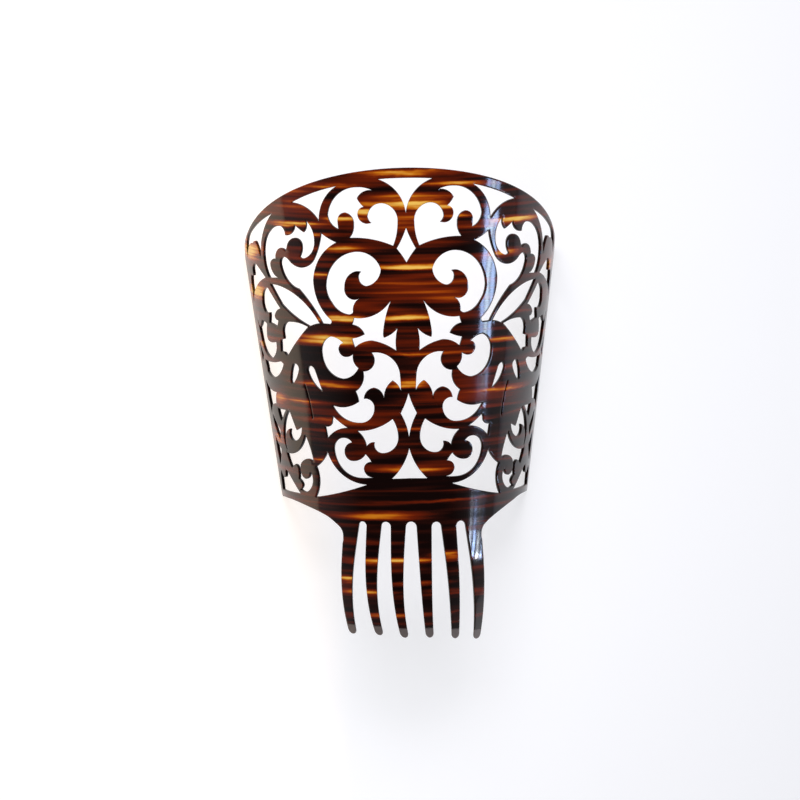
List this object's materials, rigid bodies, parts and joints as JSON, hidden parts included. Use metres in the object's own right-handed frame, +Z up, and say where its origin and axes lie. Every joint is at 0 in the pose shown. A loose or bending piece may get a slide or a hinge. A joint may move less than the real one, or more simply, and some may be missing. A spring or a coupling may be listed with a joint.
{
  "type": "pierced back comb",
  "caption": "Tall arched back comb of tortoiseshell plastic, pierced with scrolls and leaves, with long tines that slide into the hair to hold it upright.",
  "frame": {"origin": "centre of the comb's outline on the surface that it rests on, hollow side down", "axes": "+Y from the tines to the arched rim, +Z up from the surface to the crown of the bend, +X to the right seen from above with the rim away from the viewer"},
  "size_m": [0.16, 0.2386, 0.0741],
  "materials": {
    "tortoiseshell": "polished tortoiseshell-patterned cellulose acetate, dark brown with amber streaks, frosted at the tine tips"
  },
  "bodies": {
    "root": {"comb": "tortoiseshell"}
  },
  "joints": []
}
